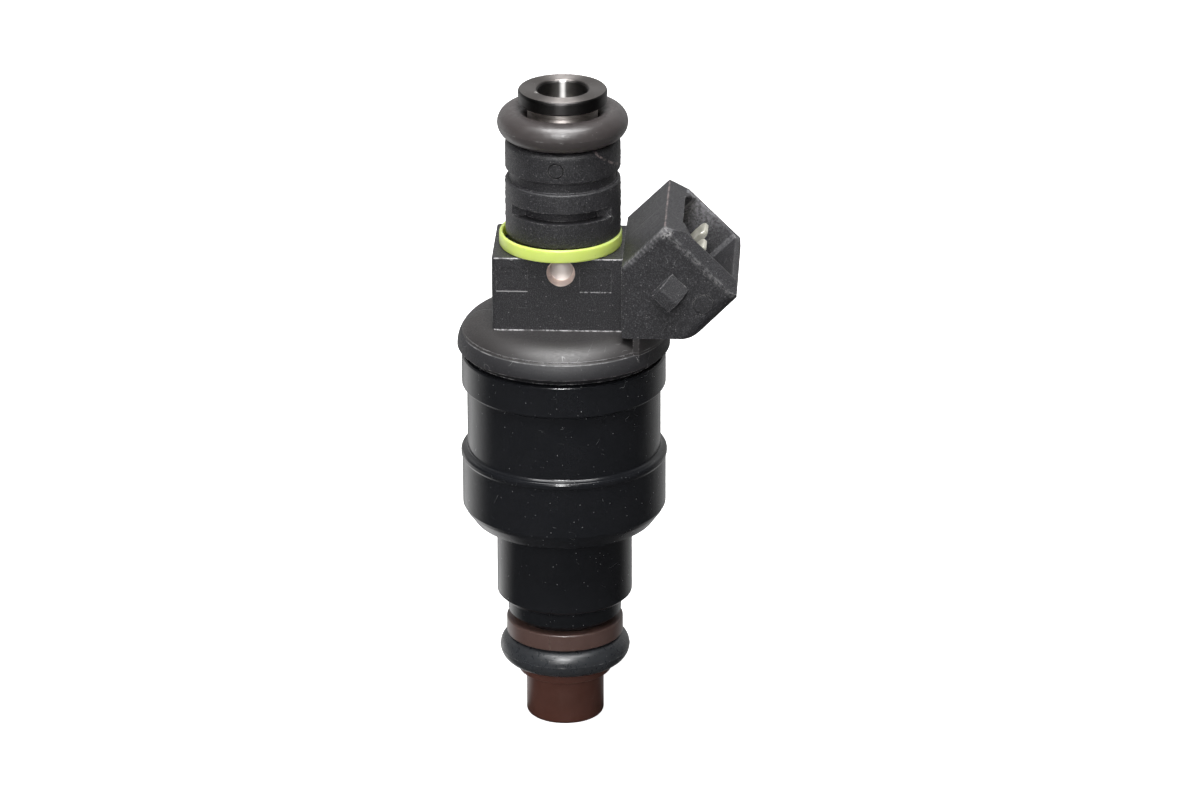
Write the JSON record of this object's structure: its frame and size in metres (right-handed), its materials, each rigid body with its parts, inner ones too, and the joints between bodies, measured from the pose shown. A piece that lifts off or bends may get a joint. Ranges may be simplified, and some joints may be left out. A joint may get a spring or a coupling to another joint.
{
  "type": "fuel injector",
  "caption": "Top-feed solenoid fuel injector: sealed inlet tube, moulded body with an angled plug socket, painted magnet housing, capped pintle nozzle and a lime colour ring.",
  "frame": {"origin": "centre of the nozzle cap's flat end face, on the injector's axis", "axes": "+Z along the axis from the nozzle to the fuel inlet; the plug socket leans towards +X; -Y is the side with the round port"},
  "size_m": [0.0315, 0.0238, 0.0754],
  "materials": {
    "body_plastic": "charcoal glass-filled nylon, fine grain, pale worn edges",
    "housing_paint": "deep gloss black with dust specks and fine scratches",
    "inlet_steel": "dark browned steel, turned, brighter on the neck",
    "upper_seal_rubber": "warm grey satin",
    "lower_seal_rubber": "blue-black satin",
    "ring_plastic": "lime, slightly translucent, smooth",
    "collar_plastic": "red-brown, satin",
    "cap_plastic": "red-brown, satin",
    "terminal_tin": "tin plated, bright",
    "filter_brass": "plain",
    "filter_nylon": "natural nylon",
    "filter_weave": "fine nylon weave",
    "plain_steel": "turned",
    "spring_steel": "drawn wire",
    "ground_steel": "ground and hardened",
    "bobbin_plastic": "brown nylon",
    "winding_copper": "enamelled copper wire",
    "inner_seal_rubber": "black"
  },
  "bodies": {
    "injector": {"inlet_tube": "inlet_steel", "moulded_body": "body_plastic", "upper_o_ring": "upper_seal_rubber", "filter_collar": "filter_brass", "filter_cage": "filter_nylon", "filter_mesh": "filter_weave", "adjusting_sleeve": "plain_steel", "return_spring": "spring_steel", "terminal_blade_front": "terminal_tin", "terminal_blade_rear": "terminal_tin", "coil_bobbin": "bobbin_plastic", "coil_winding": "winding_copper", "bobbin_upper_seal": "inner_seal_rubber", "bobbin_lower_seal": "inner_seal_rubber", "magnet_housing": "housing_paint", "stop_shim": "ground_steel", "nozzle_body": "plain_steel", "nozzle_body_seal": "inner_seal_rubber", "spacer_collar": "collar_plastic", "lower_o_ring": "lower_seal_rubber", "pintle_cap": "cap_plastic"},
    "valve": {"armature": "plain_steel", "valve_needle": "ground_steel"},
    "ring": {"colour_ring": "ring_plastic"}
  },
  "joints": [
    {"name": "valve_lift", "type": "slide", "parent": "injector", "child": "valve", "axis": [0, 0, 1], "range_m": [0, 0.0001], "stiffness_N_per_m": 2800, "springref_m": -0.00125, "deforming": ["return_spring"]},
    {"name": "ring_turn", "type": "hinge", "parent": "injector", "child": "ring", "pos_m": [-0.00028, -0.00022, 0.058], "axis": [0, 0, 1], "continuous": true}
  ]
}
